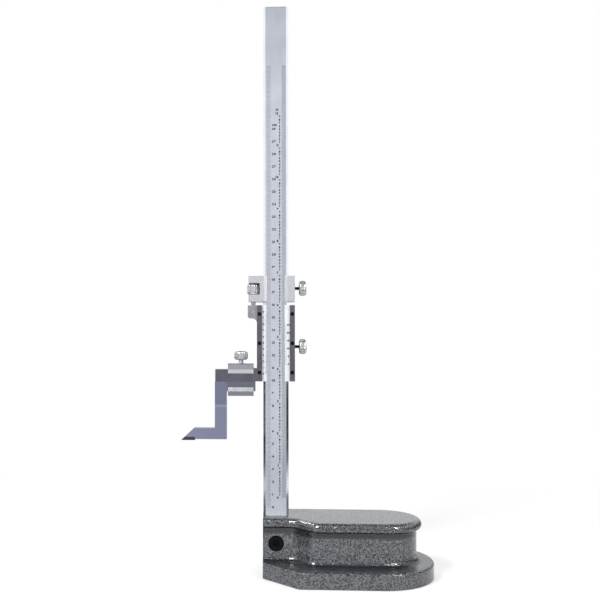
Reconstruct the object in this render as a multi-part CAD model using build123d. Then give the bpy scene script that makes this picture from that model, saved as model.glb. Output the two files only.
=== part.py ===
from build123d import *
import os
from math import tan, radians

# Vernier height gauge: a cast base, a graduated column, a slider with two verniers and a jaw,
# a fine adjustment carrier above the slider, and a scriber held under the jaw by a screw clamp.
# Millimetres. The origin is on the base's sole, on the column's axis. +Z is up, +X points to
# the round end of the base, and the graduated face of the column looks towards -Y.

# ---------------------------------------------------------------- driving dimensions

# shared fits
slide_gap = 0.05            # running clearance between flat sliding faces
thread_gap = 0.02           # a screw in its own thread
hole_gap = 0.2              # a screw shank in a clearance hole
seat_gap = 0.05             # a part seated in its pocket

# base casting
base_height = 45.5
base_left = 10.3            # flat end face, from the column's axis
flange_half = 44.0          # half width at the floor
flange_end_half = 18.0      # half width at the flat end, in front
flange_back_end_half = 34.0 # half width at the flat end, behind
flange_full_x = 16.5        # where the flange reaches its full width
flange_centre_x = 79.5      # centre of the flange's round end
flange_thickness = 12.5
flange_edge = 1.6           # rounding of the flange's upper edge
flange_corner = 5.0         # rounding of the flange's corners in plan
sole_chamfer = 0.6
web_inset = 3.8             # how far the web stands back from the rim
web_neck_half = 11.0        # the neck is cut from the front only
cove_radius = 5.0           # hollow between web and flange
rim_half = 30.0
rim_neck_half = 12.6
rim_centre_offset = 4.5     # centre of the rim's round end, beyond the flange's
rim_thickness = 7.4
rim_top_round = 4.4
rim_under_round = 2.4
neck_end_x = 14.0           # where the neck starts to widen
neck_angle = 48.0           # slope of the shoulder in plan, in degrees
neck_hollow = 13.0          # radius of the neck's hollow corner
shoulder_round = 9.0        # radius of the body's outer corner
relief_depth = 2.0          # relief under the sole
relief_start_x = 24.0
relief_border = 9.0

# column
column_width = 20.0
column_depth = 10.0
column_length = 436.8
column_bevel = 1.8          # bevels along the two front edges
column_end_chamfer = 0.4
column_seat = 14.0          # floor of the column's pocket, above the sole

# screws that hold the column
clamp_bolt_height = 25.8
clamp_bolt_diameter = 8.0
clamp_bolt_head = 12.0
clamp_bolt_head_height = 4.0
clamp_bolt_recess = 0.6     # head below the face of the web
clamp_bolt_reach = 4.4      # thread in the far wall
clamp_bolt_hex = 5.0
clamp_bolt_hex_depth = 2.4
foot_bolt_spacing = 11.0
foot_bolt_diameter = 4.0
foot_bolt_head = 7.0
foot_bolt_head_height = 4.0
foot_bolt_recess = 2.0      # head above the sole
foot_bolt_reach = 6.0       # thread in the column
foot_bolt_hex = 3.0
foot_bolt_hex_depth = 2.0

# heights of the moving group at rest
reading = 105.8             # height of the scriber's measuring edge above the floor
scriber_drop = 46.6         # from the jaw's underside down to the measuring edge

# slider
slider_width = 30.0
slider_height = 60.2
window_half = 7.0           # half width of the open window over the scale
strip_width = 4.1
strip_thickness = 2.0
plate_thickness = 1.1
plate_bevel = 0.7
channel_back = 3.5
strip_screw_pitch = 23.1
strip_screw_head = 3.0
strip_screw_head_height = 1.2
strip_screw_diameter = 1.6
strip_screw_length = 5.0
strip_screw_slot = 0.5
lug_reach = 7.3             # lug beyond the channel's side
lug_height = 10.3
lug_depth = 8.0
lug_fillet = 4.0
lug_round = 1.8             # rounding of the lug's lower outer edge
strip_edge = 0.3

# jaw
jaw_reach = 33.0            # jaw beyond the slider's side
jaw_height = 9.5
jaw_depth = 9.2
jaw_root = 3.0              # length of the raised root beside the slider
jaw_root_rise = 0.8

# gibs
gib_thickness = 1.3
gib_depth = 8.0
gib_end_gap = 3.0
gib_screw_diameter = 3.0
gib_screw_spacing = 40.0
gib_screw_slot = 0.6

# fine adjustment carrier
carrier_gap = 2.8           # between slider and carrier at rest
carrier_height = 20.4
carrier_left = 21.6
carrier_bevel = 2.4         # width of the bevels beside the carrier's window
carrier_bevel_land = 1.7    # thickness left at the inner edge
carrier_edge = 0.4
carrier_plate_thickness = 3.0
carrier_plate_screw_x = 12.8
carrier_plate_screw_pitch = 12.0
carrier_plate_screw_diameter = 2.0
carrier_plate_screw_head = 3.6
carrier_plate_screw_head_height = 1.4
carrier_plate_screw_length = 7.0
carrier_plate_screw_slot = 0.5

# fine adjustment screw and nut
fine_axis_x = -18.0
fine_axis_y = -1.8
fine_screw_diameter = 4.0
fine_screw_end_gap = 1.8    # screw's top end below the carrier's top face
nut_diameter = 10.0
nut_height = 8.8
nut_end_gap = 0.1           # between the nut and each side of its slot
nut_side_gap = 0.3
pin_diameter = 1.5

# knobs and their screws
knob_diameter = 12.0
knob_length = 5.9
knob_round = 2.0
knob_dish = 0.7
knob_dish_rim = 1.5
flute_count = 14
flute_radius = 0.75
flute_depth = 0.35
lock_stem_diameter = 2.5
lock_stem_free = 3.3        # stem between the slider's side and the knob
lock_stem_grip = 3.0        # stem inside the knob
slider_lock_drop = 2.7      # slider's lock screw below the slider's middle
carrier_lock_rise = 0.6     # carrier's lock screw above the carrier's middle

# scriber clamp
clamp_length = 20.2
clamp_gap = 2.6             # from the clamp to the slider's side
clamp_top_wall = 3.0
clamp_bottom_wall = 3.6
clamp_back_wall = 3.5
clamp_lip = 2.2             # thickness of the front lips
clamp_lip_height = 3.2
clamp_lip_land = 0.5
clamp_edge = 0.4
pad_space = 1.6             # between the jaw and the clamp's upper wall
pad_thickness = 1.0
pad_margin = 1.0
clamp_stem_diameter = 4.0
clamp_stem_free = 2.8       # stem between the clamp and its knob
clamp_knob_diameter = 10.9
clamp_knob_length = 6.9

# scriber
scriber_thickness = 8.0
scriber_arm_height = 7.8
scriber_arm_end = 1.2       # arm's end, from the slider's side
scriber_leg_width = 9.3
scriber_foot_height = 8.8
scriber_reach = 26.8        # measuring edge beyond the leg's outer face
scriber_bevel_run = 10.3
scriber_set = 0.3           # scriber's front face behind the jaw's front face
tip_length = 11.0
tip_height = 2.6
tip_proud = 0.8             # tip below the foot

# ---------------------------------------------------------------- derived places

column_half = column_width / 2
face_y = -column_depth / 2
back_y = column_depth / 2
slider_half = slider_width / 2
jaw_bottom = reading + scriber_drop
jaw_top = jaw_bottom + jaw_height
slider_bottom = jaw_bottom
slider_top = slider_bottom + slider_height
slider_middle = (slider_bottom + slider_top) / 2
carrier_bottom = slider_top + carrier_gap
carrier_top = carrier_bottom + carrier_height
carrier_middle = (carrier_bottom + carrier_top) / 2
plate_back_y = face_y - slide_gap
plate_front_y = plate_back_y - plate_thickness
front_y = plate_front_y - strip_thickness
channel_back_y = back_y + slide_gap
bore_left = -column_half - slide_gap
gib_inner = column_half + slide_gap
gib_outer = gib_inner + gib_thickness
bore_right = gib_outer + slide_gap
strip_inner = slider_half - strip_width
strip_middle = slider_half - strip_width / 2
rim_bottom = base_height - rim_thickness
rim_centre_x = flange_centre_x + rim_centre_offset
knob_start = slider_half + lock_stem_free
jaw_back_y = front_y + jaw_depth
jaw_end_x = -slider_half - jaw_reach
arm_bottom = jaw_bottom - scriber_arm_height
clamp_right = -slider_half - clamp_gap
clamp_left = clamp_right - clamp_length
clamp_axis_x = (clamp_left + clamp_right) / 2
clamp_axis_y = (front_y + jaw_back_y) / 2
clamp_inner_top = jaw_top + pad_space
clamp_top = clamp_inner_top + clamp_top_wall
nut_bottom = carrier_middle - nut_height / 2
lug_bottom = slider_top - lug_height
slider_lock_height = slider_middle - slider_lock_drop
carrier_lock_height = carrier_middle + carrier_lock_rise


# ---------------------------------------------------------------- helpers

def block(x0, x1, y0, y1, z0, z1):
    """A box between two corners."""
    return Pos((x0 + x1) / 2, (y0 + y1) / 2, (z0 + z1) / 2) * Box(x1 - x0, y1 - y0, z1 - z0)


def rod(diameter, start, direction, length):
    """A round bar from a start point along a direction."""
    return Plane(origin=start, z_dir=direction) * Cylinder(
        diameter / 2, length, align=(Align.CENTER, Align.CENTER, Align.MIN)
    )


def hexagon(flats, start, direction, depth):
    """A hexagonal prism, for a screw's socket."""
    return extrude(Plane(origin=start, z_dir=direction) * RegularPolygon(flats / 2, 6, major_radius=False), depth)


def prism(points, axis, low, high):
    """A polygon in a plane square to the axis, drawn out between two places on that axis."""
    planes = {
        "X": Plane(origin=(low, 0, 0), x_dir=(0, 1, 0), z_dir=(1, 0, 0)),
        "Y": Plane(origin=(0, low, 0), x_dir=(1, 0, 0), z_dir=(0, -1, 0)),
    }
    face = planes[axis] * make_face(Polyline(*points, close=True))
    return extrude(face, high - low if axis == "X" else low - high)


def edges_at(solid, z, inside_x):
    """The edges at one height, without those on the base's flat end."""
    level = solid.edges().filter_by_position(Axis.Z, z, z, inclusive=(True, True))
    return [edge for edge in level if edge.center().X > inside_x]


def save(name, shape):
    """Writes one sub-part."""
    export_step(shape, f"parts/{name}.step")


# ---------------------------------------------------------------- base

def base_plan(half, neck_half, centre_x):
    """Rim or web in plan: flat end, neck and shoulder in front, straight back and a round end."""
    shoulder_x = neck_end_x + (half - neck_half) / tan(radians(neck_angle))
    front = [(-base_left, -neck_half), (neck_end_x, -neck_half), (shoulder_x, -half), (centre_x, -half)]
    plan = make_face(Polyline(*front, (centre_x, half), (-base_left, half), close=True))
    hollow = [v for v in plan.vertices() if abs(v.X - neck_end_x) < 1e-6]
    plan = fillet(hollow, neck_hollow)
    outer = [v for v in plan.vertices() if abs(v.X - shoulder_x) < 1e-6]
    plan = fillet(outer, shoulder_round)
    return plan + Pos(centre_x, 0) * Circle(half)


def flange_plan():
    """The flange in plan: flat end, slanted corners and a round end."""
    back_full_x = flange_half - flange_back_end_half - base_left
    outline = [
        (-base_left, -flange_end_half),
        (flange_full_x, -flange_half),
        (flange_centre_x, -flange_half),
        (flange_centre_x, flange_half),
        (back_full_x, flange_half),
        (-base_left, flange_back_end_half),
    ]
    plan = make_face(Polyline(*outline, close=True))
    corners = [v for v in plan.vertices() if abs(v.X - flange_full_x) < 1e-6 or abs(v.X - back_full_x) < 1e-6]
    plan = fillet(corners, flange_corner)
    return plan + Pos(flange_centre_x, 0) * Circle(flange_half)


def base_casting():
    """The casting, with the column's pocket, the screw holes and the relieved sole."""
    inside = -base_left + 0.01
    web_half = rim_half - web_inset
    flange = extrude(flange_plan(), flange_thickness)
    web = Pos(0, 0, flange_thickness) * extrude(
        base_plan(web_half, web_neck_half, rim_centre_x), rim_bottom - flange_thickness
    )
    rim = Pos(0, 0, rim_bottom) * extrude(base_plan(rim_half, rim_neck_half, rim_centre_x), rim_thickness)
    rim = fillet(edges_at(rim, base_height, inside), rim_top_round)
    rim = fillet(edges_at(rim, rim_bottom, inside), rim_under_round)
    flange = fillet(edges_at(flange, flange_thickness, inside), flange_edge)
    flange = chamfer(edges_at(flange, 0, inside), sole_chamfer)
    body = flange + web
    ledge = flange_end_half - web_neck_half - flange_edge
    outline = [e for e in edges_at(body, flange_thickness, inside) if e.distance_to(web) < 1e-4]
    body = fillet(outline, min(cove_radius, 0.95 * ledge)) + rim
    relief_half = flange_half - relief_border
    relief = Pos(flange_centre_x, 0) * Circle(relief_half)
    relief += Pos((relief_start_x + flange_centre_x) / 2, 0) * Rectangle(
        flange_centre_x - relief_start_x, 2 * relief_half
    )
    body -= extrude(relief, relief_depth)
    pocket_half = column_depth / 2 + seat_gap
    body -= block(
        -base_left - 1, column_half + seat_gap, -pocket_half, pocket_half, column_seat, base_height + 1
    )
    face = (0, -web_neck_half, clamp_bolt_height)
    head_room = clamp_bolt_recess + clamp_bolt_head_height
    body -= rod(clamp_bolt_head + 2 * hole_gap, face, (0, 1, 0), head_room)
    body -= rod(clamp_bolt_diameter + 2 * hole_gap, face, (0, 1, 0), web_neck_half)
    thread_end = column_depth / 2 + clamp_bolt_reach
    body -= rod(
        clamp_bolt_diameter + 2 * thread_gap, (0, 0, clamp_bolt_height), (0, 1, 0), thread_end + 0.5
    )
    for x in (-foot_bolt_spacing / 2, foot_bolt_spacing / 2):
        body -= rod(
            foot_bolt_head + 2 * hole_gap, (x, 0, 0), (0, 0, 1), foot_bolt_recess + foot_bolt_head_height
        )
        body -= rod(foot_bolt_diameter + 2 * hole_gap, (x, 0, 0), (0, 0, 1), column_seat)
    return body


def column():
    """The graduated column, with holes in its foot for the screws that hold it."""
    top = column_seat + column_length
    bar = block(-column_half, column_half, face_y, back_y, column_seat, top)
    front = bar.edges().filter_by(Axis.Z).filter_by_position(Axis.Y, face_y, face_y, inclusive=(True, True))
    bar = chamfer(front, column_bevel)
    bar = chamfer(bar.faces().sort_by(Axis.Z)[-1].edges(), column_end_chamfer)
    bar -= rod(
        clamp_bolt_diameter + 2 * hole_gap, (0, face_y - 1, clamp_bolt_height), (0, 1, 0), column_depth + 2
    )
    for x in (-foot_bolt_spacing / 2, foot_bolt_spacing / 2):
        bar -= rod(
            foot_bolt_diameter + 2 * thread_gap, (x, 0, column_seat), (0, 0, 1), foot_bolt_reach + 0.5
        )
    return bar


def column_clamp_screw():
    """Low-head socket screw that squeezes the column in its pocket."""
    head_y = -web_neck_half + clamp_bolt_recess
    shank_y = head_y + clamp_bolt_head_height
    head = rod(clamp_bolt_head, (0, head_y, clamp_bolt_height), (0, 1, 0), clamp_bolt_head_height)
    head = chamfer(head.edges().group_by(Axis.Y)[0], 0.5)
    shank_length = column_depth / 2 + clamp_bolt_reach - shank_y
    screw = head + rod(clamp_bolt_diameter, (0, shank_y, clamp_bolt_height), (0, 1, 0), shank_length)
    return screw - hexagon(clamp_bolt_hex, (0, head_y, clamp_bolt_height), (0, 1, 0), clamp_bolt_hex_depth)


def column_foot_screws():
    """Two socket screws up through the base into the column's foot."""
    screws = []
    for x in (-foot_bolt_spacing / 2, foot_bolt_spacing / 2):
        head_z = foot_bolt_recess
        shank_z = head_z + foot_bolt_head_height
        shank_length = column_seat + foot_bolt_reach - shank_z
        screw = rod(foot_bolt_head, (x, 0, head_z), (0, 0, 1), foot_bolt_head_height)
        screw += rod(foot_bolt_diameter, (x, 0, shank_z), (0, 0, 1), shank_length)
        screws.append(screw - hexagon(foot_bolt_hex, (x, 0, head_z), (0, 0, 1), foot_bolt_hex_depth))
    return Compound(children=screws)


# ---------------------------------------------------------------- slider

def strip_screw_places():
    """Side, x and height of the six screws in the slider's strips."""
    heights = (slider_middle - strip_screw_pitch, slider_middle, slider_middle + strip_screw_pitch)
    return [(side * strip_middle, z) for side in (-1, 1) for z in heights]


def drill_strip_screws(solid, gap):
    """Holes for the strip screws, with their heads' recesses."""
    for x, z in strip_screw_places():
        solid -= rod(strip_screw_head + 2 * gap, (x, front_y, z), (0, 1, 0), strip_screw_head_height)
        solid -= rod(strip_screw_diameter + 2 * gap, (x, front_y, z), (0, 1, 0), strip_screw_length + 0.3)
    return solid


def slider_rear_channel():
    """The channel that runs round the back of the column, with the lug for the fine screw."""
    y1 = channel_back_y + channel_back
    body = block(-slider_half, slider_half, plate_back_y, y1, slider_bottom, slider_top)
    body -= block(bore_left, bore_right, plate_back_y - 1, channel_back_y, slider_bottom - 1, slider_top + 1)
    lug_y = fine_axis_y - lug_depth / 2
    lug = block(
        -slider_half - lug_reach, -slider_half, lug_y, lug_y + lug_depth, lug_bottom, slider_top
    )
    lug = fillet(lug.edges().filter_by(Axis.Y).group_by(Axis.Z)[0].sort_by(Axis.X)[0], lug_round)
    corner = [(-slider_half, lug_bottom), (-slider_half - lug_fillet, lug_bottom), (-slider_half, lug_bottom - lug_fillet)]
    web = prism(corner, "Y", lug_y, lug_y + lug_depth)
    web -= rod(
        2 * lug_fillet, (-slider_half - lug_fillet, lug_y - 1, lug_bottom - lug_fillet), (0, 1, 0), lug_depth + 2
    )
    body += lug + web
    body -= rod(
        fine_screw_diameter + 2 * thread_gap, (fine_axis_x, fine_axis_y, lug_bottom), (0, 0, 1), lug_height
    )
    body -= rod(
        pin_diameter + 2 * thread_gap, (fine_axis_x, lug_y, slider_top - lug_height / 2), (0, 1, 0), lug_depth
    )
    body = drill_strip_screws(body, thread_gap)
    body -= rod(
        lock_stem_diameter + 2 * thread_gap, (bore_right - 1, 0, slider_lock_height), (1, 0, 0), slider_half
    )
    for z in gib_screw_heights():
        body -= rod(gib_screw_diameter + 2 * thread_gap, (bore_right - 1, 0, z), (1, 0, 0), slider_half)
    return body


def slider_jaw_frame():
    """Left retaining strip, in one piece with the jaw."""
    strip = block(-slider_half, -strip_inner, front_y, plate_front_y, slider_bottom, slider_top)
    strip = chamfer(strip.edges().filter_by(Axis.Z).group_by(Axis.Y)[0], strip_edge)
    bar = block(jaw_end_x, -slider_half, front_y, jaw_back_y, jaw_bottom, jaw_top)
    bar = chamfer(bar.faces().sort_by(Axis.X)[0].edges(), strip_edge)
    root = block(
        -slider_half - jaw_root, -slider_half, front_y, jaw_back_y, jaw_bottom, jaw_top + jaw_root_rise
    )
    tie = block(-slider_half - 1, -slider_half + 1, front_y, plate_front_y, jaw_bottom, jaw_top + jaw_root_rise)
    return drill_strip_screws(strip + bar + root + tie, hole_gap / 2)


def slider_right_strip():
    """Right retaining strip."""
    strip = block(strip_inner, slider_half, front_y, plate_front_y, slider_bottom, slider_top)
    strip = chamfer(strip.edges().filter_by(Axis.Z).group_by(Axis.Y)[0], strip_edge)
    return drill_strip_screws(strip, hole_gap / 2)


def vernier_plate(side):
    """Vernier plate, clamped under its strip and bevelled down to the scale."""
    inner = side * window_half
    outer = side * slider_half
    points = [
        (outer, plate_back_y),
        (outer, plate_front_y),
        (inner + side * plate_bevel, plate_front_y),
        (inner, plate_front_y + plate_bevel),
        (inner, plate_back_y),
    ]
    face = Plane.XY.offset(slider_bottom) * make_face(Polyline(*points, close=True))
    return drill_strip_screws(extrude(face, slider_height), hole_gap / 2)


def slotted_screw(head, head_height, shank, length, slot, start, direction):
    """Cheese-head screw whose head starts at a point and whose shank follows a direction."""
    plane = Plane(origin=start, z_dir=direction)
    screw = rod(head, start, direction, head_height)
    screw += plane * Pos(0, 0, head_height) * Cylinder(
        shank / 2, length - head_height, align=(Align.CENTER, Align.CENTER, Align.MIN)
    )
    cut = Box(head + 1, slot, slot, align=(Align.CENTER, Align.CENTER, Align.MIN))
    return screw - plane * cut


def slider_strip_screws():
    """Six screws through the strips and plates into the channel."""
    screws = []
    for x, z in strip_screw_places():
        screws.append(
            slotted_screw(
                strip_screw_head, strip_screw_head_height, strip_screw_diameter, strip_screw_length,
                strip_screw_slot, (x, front_y, z), (0, 1, 0)
            )
        )
    return Compound(children=screws)


def gib(low, high):
    """Flat gib between the column's edge and the side wall."""
    return block(gib_inner, gib_outer, -gib_depth / 2, gib_depth / 2, low, high)


def gib_screw_heights():
    """Heights of the two gib setting screws."""
    return (slider_middle - gib_screw_spacing / 2, slider_middle + gib_screw_spacing / 2)


def slider_gib_screws():
    """Two slotted grub screws that set the gib."""
    screws = []
    start = gib_outer + slide_gap
    for z in gib_screw_heights():
        grub = rod(gib_screw_diameter, (start, 0, z), (1, 0, 0), slider_half - start)
        slot = block(
            slider_half - gib_screw_slot, slider_half + 1, -gib_screw_diameter, gib_screw_diameter,
            z - gib_screw_slot / 2, z + gib_screw_slot / 2
        )
        screws.append(grub - slot)
    return Compound(children=screws)


# ---------------------------------------------------------------- knobs and lock screws

def fluted_knob(diameter, length, bore, grip):
    """Knob on the Z axis, from z = 0: fluted, rounded at its ends and dished on its outer face."""
    radius = diameter / 2
    ends = Cylinder(radius, length, align=(Align.CENTER, Align.CENTER, Align.MIN))
    ends = fillet(ends.edges().filter_by(GeomType.CIRCLE), knob_round)
    for place in PolarLocations(radius + flute_radius - flute_depth, flute_count):
        ends -= place * Cylinder(flute_radius, length, align=(Align.CENTER, Align.CENTER, Align.MIN))
    ends -= Pos(0, 0, length - knob_dish) * Cylinder(
        radius - knob_dish_rim - knob_round / 2, knob_dish + 1, align=(Align.CENTER, Align.CENTER, Align.MIN)
    )
    return ends - Cylinder(bore / 2, grip, align=(Align.CENTER, Align.CENTER, Align.MIN))


def lock_knob(height):
    """Knob of a lock screw, outside the slider's right side."""
    knob = fluted_knob(knob_diameter, knob_length, lock_stem_diameter + 2 * thread_gap, lock_stem_grip)
    return Plane(origin=(knob_start, 0, height), z_dir=(1, 0, 0)) * knob


def lock_stem(height):
    """Stem of a lock screw, from the gib to its seat inside the knob."""
    start = gib_outer + slide_gap
    stem = rod(
        lock_stem_diameter, (start, 0, height), (1, 0, 0), knob_start + lock_stem_grip - start - thread_gap
    )
    return chamfer(stem.edges().group_by(Axis.X)[0], 0.3)


# ---------------------------------------------------------------- fine adjustment

def carrier_blocks():
    """Left block of the carrier, whose arm holds the nut, and its right block."""
    right = slider_half
    body = block(-carrier_left, right, front_y, channel_back_y, carrier_bottom, carrier_top)
    body = chamfer(body.edges().filter_by(Axis.Z).group_by(Axis.Y)[0], carrier_edge)
    body -= block(
        bore_left, bore_right, plate_back_y, channel_back_y + 1, carrier_bottom - 1, carrier_top + 1
    )
    outer = window_half + carrier_bevel
    window = [
        (-outer, front_y - 1),
        (-outer, front_y),
        (-window_half, plate_back_y - carrier_bevel_land),
        (-window_half, plate_back_y + 1),
        (window_half, plate_back_y + 1),
        (window_half, plate_back_y - carrier_bevel_land),
        (outer, front_y),
        (outer, front_y - 1),
    ]
    body -= extrude(
        Plane.XY.offset(carrier_bottom - 1) * make_face(Polyline(*window, close=True)), carrier_height + 2
    )
    slot_low = nut_bottom - nut_end_gap
    slot_high = slot_low + nut_height + 2 * nut_end_gap
    slot_right = fine_axis_x + nut_diameter / 2 + nut_side_gap
    body -= block(-carrier_left - 1, slot_right, front_y - 1, channel_back_y + 1, slot_low, slot_high)
    body -= rod(
        fine_screw_diameter + 2 * hole_gap, (fine_axis_x, fine_axis_y, carrier_bottom), (0, 0, 1), carrier_height
    )
    body -= rod(
        lock_stem_diameter + 2 * thread_gap, (bore_right - 1, 0, carrier_lock_height), (1, 0, 0), slider_half
    )
    for x, z in carrier_plate_screw_places():
        thread = carrier_plate_screw_length - carrier_plate_thickness + 0.3
        body -= rod(carrier_plate_screw_diameter + 2 * thread_gap, (x, channel_back_y, z), (0, -1, 0), thread)
    return body.solids().sort_by(Axis.X)


def carrier_plate_screw_places():
    """x and height of the four screws in the carrier's rear plate."""
    half = carrier_plate_screw_pitch / 2
    return [
        (side * carrier_plate_screw_x, carrier_middle + up * half) for side in (-1, 1) for up in (-1, 1)
    ]


def carrier_rear_plate():
    """Plate that joins the carrier's blocks behind the column."""
    y1 = channel_back_y + carrier_plate_thickness
    plate = block(-slider_half, slider_half, channel_back_y, y1, carrier_bottom, carrier_top)
    plate = chamfer(plate.edges().filter_by(Axis.Z).group_by(Axis.Y)[-1], carrier_edge)
    for x, z in carrier_plate_screw_places():
        plate -= rod(
            carrier_plate_screw_head + hole_gap, (x, y1, z), (0, -1, 0), carrier_plate_screw_head_height
        )
        plate -= rod(
            carrier_plate_screw_diameter + hole_gap, (x, y1, z), (0, -1, 0), carrier_plate_thickness
        )
    return plate


def carrier_plate_screws():
    """Four screws through the rear plate."""
    y1 = channel_back_y + carrier_plate_thickness
    screws = []
    for x, z in carrier_plate_screw_places():
        screws.append(
            slotted_screw(
                carrier_plate_screw_head, carrier_plate_screw_head_height, carrier_plate_screw_diameter,
                carrier_plate_screw_length, carrier_plate_screw_slot, (x, y1, z), (0, -1, 0)
            )
        )
    return Compound(children=screws)


def fine_adjust_screw():
    """Threaded rod from the slider's lug up through the nut into the carrier."""
    top = carrier_top - fine_screw_end_gap
    screw = rod(fine_screw_diameter, (fine_axis_x, fine_axis_y, lug_bottom), (0, 0, 1), top - lug_bottom)
    screw = chamfer(screw.edges().group_by(Axis.Z)[-1], 0.4)
    pin_height = slider_top - lug_height / 2
    return screw - rod(
        pin_diameter + 2 * thread_gap, (fine_axis_x, fine_axis_y - lug_depth / 2, pin_height), (0, 1, 0), lug_depth
    )


def fine_screw_pin():
    """Cross pin that stops the fine screw turning in the lug."""
    return rod(
        pin_diameter, (fine_axis_x, fine_axis_y - lug_depth / 2, slider_top - lug_height / 2), (0, 1, 0), lug_depth
    )


def fine_adjust_nut():
    """Fluted nut, captive in the carrier's slot."""
    nut = Cylinder(nut_diameter / 2, nut_height, align=(Align.CENTER, Align.CENTER, Align.MIN))
    nut = fillet(nut.edges().filter_by(GeomType.CIRCLE), knob_round)
    for place in PolarLocations(nut_diameter / 2 + flute_radius - flute_depth, flute_count):
        nut -= place * Cylinder(flute_radius, nut_height, align=(Align.CENTER, Align.CENTER, Align.MIN))
    nut -= Cylinder(
        fine_screw_diameter / 2 + slide_gap, nut_height, align=(Align.CENTER, Align.CENTER, Align.MIN)
    )
    return Pos(fine_axis_x, fine_axis_y, nut_bottom) * nut


# ---------------------------------------------------------------- scriber and its clamp

def scriber_clamp_frame():
    """C-shaped clamp round the jaw and the scriber's arm, open at the front between bevelled lips."""
    inner_y0 = front_y - slide_gap
    inner_y1 = jaw_back_y + slide_gap
    outer_y0 = inner_y0 - clamp_lip
    outer_y1 = inner_y1 + clamp_back_wall
    inner_low = arm_bottom - slide_gap
    bottom = inner_low - clamp_bottom_wall
    lip_top = jaw_top - clamp_lip_height
    lip_low = inner_low + clamp_lip_height
    land_y = inner_y0 - clamp_lip_land
    points = [
        (outer_y0, bottom),
        (outer_y1, bottom),
        (outer_y1, clamp_top),
        (outer_y0, clamp_top),
        (outer_y0, jaw_top),
        (land_y, lip_top),
        (inner_y0, lip_top),
        (inner_y0, clamp_inner_top),
        (inner_y1, clamp_inner_top),
        (inner_y1, inner_low),
        (inner_y0, inner_low),
        (inner_y0, lip_low),
        (land_y, lip_low),
        (outer_y0, inner_low),
    ]
    frame = prism(points, "X", clamp_left, clamp_right)
    corners = frame.edges().filter_by(Axis.X).group_by(Axis.Z)
    frame = chamfer(list(corners[0]) + list(corners[-1]), clamp_edge)
    return frame - rod(
        clamp_stem_diameter + 2 * thread_gap, (clamp_axis_x, clamp_axis_y, clamp_inner_top - 1), (0, 0, 1),
        clamp_top_wall + 2
    )


def clamp_pressure_pad():
    """Pad between the clamp screw and the jaw."""
    low = jaw_top + slide_gap
    return block(
        clamp_left + pad_margin, clamp_right - pad_margin, front_y + pad_margin, jaw_back_y - pad_margin,
        low, low + pad_thickness
    )


def clamp_screw_stem():
    """Stem of the clamp screw, from the pad to its seat inside the knob."""
    low = jaw_top + slide_gap + pad_thickness
    high = clamp_top + clamp_stem_free + lock_stem_grip - thread_gap
    return rod(clamp_stem_diameter, (clamp_axis_x, clamp_axis_y, low), (0, 0, 1), high - low)


def clamp_screw_knob():
    """Knob on top of the clamp."""
    knob = fluted_knob(
        clamp_knob_diameter, clamp_knob_length, clamp_stem_diameter + 2 * thread_gap, lock_stem_grip
    )
    return Pos(clamp_axis_x, clamp_axis_y, clamp_top + clamp_stem_free) * knob


def scriber_outline():
    """Scriber seen from the front: arm, leg, foot and the seat of the carbide tip."""
    top = jaw_bottom - slide_gap
    leg_out = jaw_end_x - scriber_set
    leg_in = leg_out + scriber_leg_width
    foot_low = reading + tip_proud
    foot_high = foot_low + scriber_foot_height
    edge_x = leg_out - scriber_reach
    seat_x = edge_x + tip_length
    seat_z = reading + tip_height
    slope = (foot_high - reading) / scriber_bevel_run
    return [
        (leg_out, top),
        (-slider_half - scriber_arm_end, top),
        (-slider_half - scriber_arm_end, arm_bottom),
        (leg_in, arm_bottom),
        (leg_in, foot_low),
        (seat_x, foot_low),
        (seat_x, seat_z),
        (edge_x + tip_height / slope, seat_z),
        (edge_x + scriber_bevel_run, foot_high),
        (leg_out, foot_high),
    ]


def scriber():
    """The scriber."""
    y0 = front_y + scriber_set
    return prism(scriber_outline(), "Y", y0, y0 + scriber_thickness)


def carbide_tip():
    """Carbide insert that carries the measuring edge."""
    y0 = front_y + scriber_set
    edge_x = jaw_end_x - scriber_set - scriber_reach
    foot_high = reading + tip_proud + scriber_foot_height
    slope = (foot_high - reading) / scriber_bevel_run
    seat_x = edge_x + tip_length
    seat_z = reading + tip_height
    points = [(edge_x, reading), (seat_x, reading), (seat_x, seat_z), (edge_x + tip_height / slope, seat_z)]
    return prism(points, "Y", y0, y0 + scriber_thickness)


# ---------------------------------------------------------------- the assembly

def main():
    """Makes every sub-part and writes it."""
    os.makedirs("parts", exist_ok=True)
    save("base_casting", base_casting())
    save("column", column())
    save("column_clamp_screw", column_clamp_screw())
    save("column_foot_screws", column_foot_screws())
    save("slider_rear_channel", slider_rear_channel())
    save("slider_jaw_frame", slider_jaw_frame())
    save("slider_right_strip", slider_right_strip())
    save("slider_strip_screws", slider_strip_screws())
    save("vernier_plate_mm", vernier_plate(-1))
    save("vernier_plate_inch", vernier_plate(1))
    save("slider_gib", gib(slider_bottom + gib_end_gap, slider_top - gib_end_gap))
    save("slider_gib_screws", slider_gib_screws())
    save("slider_lock_stem", lock_stem(slider_lock_height))
    save("slider_lock_knob", lock_knob(slider_lock_height))
    left_block, right_block = carrier_blocks()
    save("carrier_left_block", left_block)
    save("carrier_right_block", right_block)
    save("carrier_rear_plate", carrier_rear_plate())
    save("carrier_plate_screws", carrier_plate_screws())
    save("carrier_gib", gib(carrier_bottom + gib_end_gap, carrier_top - gib_end_gap))
    save("carrier_lock_stem", lock_stem(carrier_lock_height))
    save("carrier_lock_knob", lock_knob(carrier_lock_height))
    save("fine_adjust_screw", fine_adjust_screw())
    save("fine_screw_pin", fine_screw_pin())
    save("fine_adjust_nut", fine_adjust_nut())
    save("scriber_clamp_frame", scriber_clamp_frame())
    save("clamp_pressure_pad", clamp_pressure_pad())
    save("clamp_screw_stem", clamp_screw_stem())
    save("clamp_screw_knob", clamp_screw_knob())
    save("scriber", scriber())
    save("carbide_tip", carbide_tip())


if __name__ == "__main__":
    main()
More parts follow.
